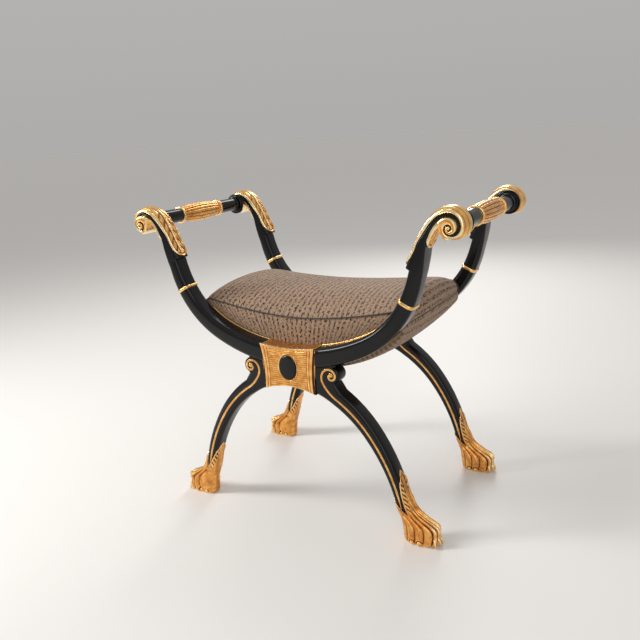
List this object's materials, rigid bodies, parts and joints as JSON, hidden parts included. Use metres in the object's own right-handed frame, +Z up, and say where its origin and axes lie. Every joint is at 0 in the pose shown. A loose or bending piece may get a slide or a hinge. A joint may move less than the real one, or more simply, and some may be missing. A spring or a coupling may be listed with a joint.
{
  "type": "curule bench",
  "caption": "Free-standing upholstered bench on curule cross frames, with scrolled arms, turned handrails and lion paw feet.",
  "frame": {"origin": "middle of the bench on the floor", "axes": "+X along the length towards the right arms, +Y from the front frame to the rear frame, +Z up"},
  "size_m": [0.7702, 0.4146, 0.6745],
  "materials": {
    "ebonised_wood": "black lacquer, polished",
    "gilding": "aged water gilding over carved wood",
    "seat_fabric": "taupe woven with broken dark brown flecks",
    "piping": "dark brown corded piping",
    "seat_wood": "plain beech",
    "screw_steel": "zinc plated"
  },
  "bodies": {
    "bench": {"front_left_arm": "ebonised_wood", "front_right_arm": "ebonised_wood", "rear_left_arm": "ebonised_wood", "rear_right_arm": "ebonised_wood", "front_left_leg": "ebonised_wood", "front_right_leg": "ebonised_wood", "rear_left_leg": "ebonised_wood", "rear_right_leg": "ebonised_wood", "front_left_paw": "gilding", "front_right_paw": "gilding", "rear_left_paw": "gilding", "rear_right_paw": "gilding", "front_left_leaf": "gilding", "front_right_leaf": "gilding", "rear_left_leaf": "gilding", "rear_right_leaf": "gilding", "front_left_volute": "gilding", "front_right_volute": "gilding", "rear_left_volute": "gilding", "rear_right_volute": "gilding", "front_left_arm_ring": "gilding", "front_right_arm_ring": "gilding", "rear_left_arm_ring": "gilding", "rear_right_arm_ring": "gilding", "front_left_leg_line": "gilding", "front_right_leg_line": "gilding", "rear_left_leg_line": "gilding", "rear_right_leg_line": "gilding", "front_block": "ebonised_wood", "rear_block": "ebonised_wood", "front_tablet": "gilding", "rear_tablet": "gilding", "front_medallion": "ebonised_wood", "rear_medallion": "ebonised_wood", "front_bead": "gilding", "rear_bead": "gilding", "front_left_handrail": "ebonised_wood", "front_right_handrail": "ebonised_wood", "rear_left_handrail": "ebonised_wood", "rear_right_handrail": "ebonised_wood", "left_barrel": "gilding", "right_barrel": "gilding", "left_barrel_rings": "gilding", "right_barrel_rings": "gilding", "seat_cushion": "seat_fabric", "seat_underside": "seat_fabric", "front_piping": "piping", "rear_piping": "piping", "front_seat_rail": "seat_wood", "rear_seat_rail": "seat_wood", "left_end_rail": "seat_wood", "right_end_rail": "seat_wood", "seat_slats": "seat_wood", "seat_screws": "screw_steel", "stretcher": "ebonised_wood"}
  },
  "joints": []
}
